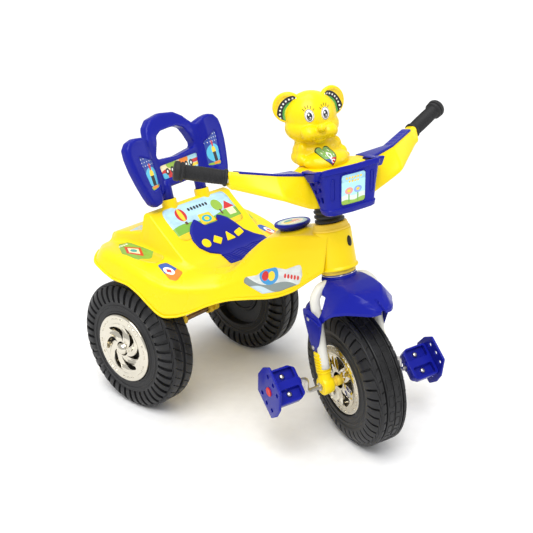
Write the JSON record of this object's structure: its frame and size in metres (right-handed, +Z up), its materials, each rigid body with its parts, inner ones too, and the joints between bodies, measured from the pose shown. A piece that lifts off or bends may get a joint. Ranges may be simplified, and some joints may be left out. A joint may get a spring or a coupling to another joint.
{
  "type": "children's tricycle",
  "caption": "Low pedal tricycle with moulded body, raked steering, pedals on the front wheel, bear figure on the handlebar and a bow-tie backrest.",
  "frame": {"origin": "on the floor, on the body's centre plane, midway between the front and rear axles; the steered parts are turned 23 degrees to the rider's right", "axes": "+X to the rider's left, -Y forward, +Z up"},
  "size_m": [0.4841, 0.6318, 0.6137],
  "materials": {
    "body_yellow": "gloss",
    "body_blue": "gloss",
    "seat_blue": "satin",
    "black_plastic": "satin",
    "bush_yellow": "satin",
    "tyre_black": "matt",
    "grip_black": "matt",
    "chrome": "polished",
    "zinc_steel": "satin",
    "fork_white": "gloss",
    "hanger_yellow": "gloss",
    "disc_red": "gloss"
  },
  "bodies": {
    "frame": {"body_shell": "body_yellow", "seat_insert": "seat_blue", "tank_cap": "body_blue", "backrest": "body_blue", "backrest_screws": "zinc_steel", "head_plug": "black_plastic", "head_bush_upper": "bush_yellow", "head_bush_lower": "bush_yellow", "axle_hanger": "hanger_yellow", "hanger_screws": "zinc_steel", "rear_axle": "zinc_steel", "axle_spacers": "black_plastic", "axle_lock_caps": "black_plastic"},
    "steering": {"fork": "fork_white", "mudguard": "body_blue", "mudguard_screws": "zinc_steel", "steering_ring": "chrome", "steering_tube": "zinc_steel", "stem_collar": "black_plastic", "handlebar_cover": "body_yellow", "handlebar_tube": "zinc_steel", "bear_figure": "body_yellow", "basket": "body_blue", "basket_screws": "zinc_steel", "knuckle_right": "body_yellow", "knuckle_left": "body_yellow", "grip_right": "grip_black", "grip_left": "grip_black", "wing_cover_right": "body_blue", "wing_cover_left": "body_blue"},
    "front_wheel_set": {"front_wheel": "tyre_black", "front_hubcap_right": "chrome", "front_hubcap_left": "chrome", "crank_axle": "zinc_steel", "hub_spacers": "bush_yellow", "axle_rings": "zinc_steel"},
    "pedal_set_right": {"pedal_right": "body_blue", "pedal_screws_right": "zinc_steel", "pedal_disc_right": "disc_red"},
    "pedal_set_left": {"pedal_left": "body_blue", "pedal_screws_left": "zinc_steel", "pedal_disc_left": "disc_red"},
    "rear_wheel_set_right": {"rear_wheel_right": "tyre_black", "rear_hubcap_right": "chrome", "rear_bushes_right": "bush_yellow"},
    "rear_wheel_set_left": {"rear_wheel_left": "tyre_black", "rear_hubcap_left": "chrome", "rear_bushes_left": "bush_yellow"}
  },
  "joints": [
    {"name": "steering_turn", "type": "hinge", "parent": "frame", "child": "steering", "pos_m": [0, -0.2, 0.12557], "axis": [0, 0.2453, 0.9694], "range_deg": [-22, 68]},
    {"name": "front_wheel_spin", "type": "hinge", "parent": "steering", "child": "front_wheel_set", "pos_m": [0.00303, -0.1926, 0.12573], "axis": [0.9205, -0.3788, 0.0958], "continuous": true},
    {"name": "pedal_spin_right", "type": "hinge", "parent": "front_wheel_set", "child": "pedal_set_right", "pos_m": [-0.0014, -0.1959, 0.15521], "axis": [0.9205, -0.3788, 0.0958], "continuous": true},
    {"name": "pedal_spin_left", "type": "hinge", "parent": "front_wheel_set", "child": "pedal_set_left", "pos_m": [0.00746, -0.1893, 0.09624], "axis": [0.9205, -0.3788, 0.0958], "continuous": true},
    {"name": "rear_wheel_spin_right", "type": "hinge", "parent": "frame", "child": "rear_wheel_set_right", "pos_m": [-0.155, 0.192, 0.1235], "axis": [1, 0, 0], "continuous": true},
    {"name": "rear_wheel_spin_left", "type": "hinge", "parent": "frame", "child": "rear_wheel_set_left", "pos_m": [0.155, 0.192, 0.1235], "axis": [1, 0, 0], "continuous": true}
  ]
}
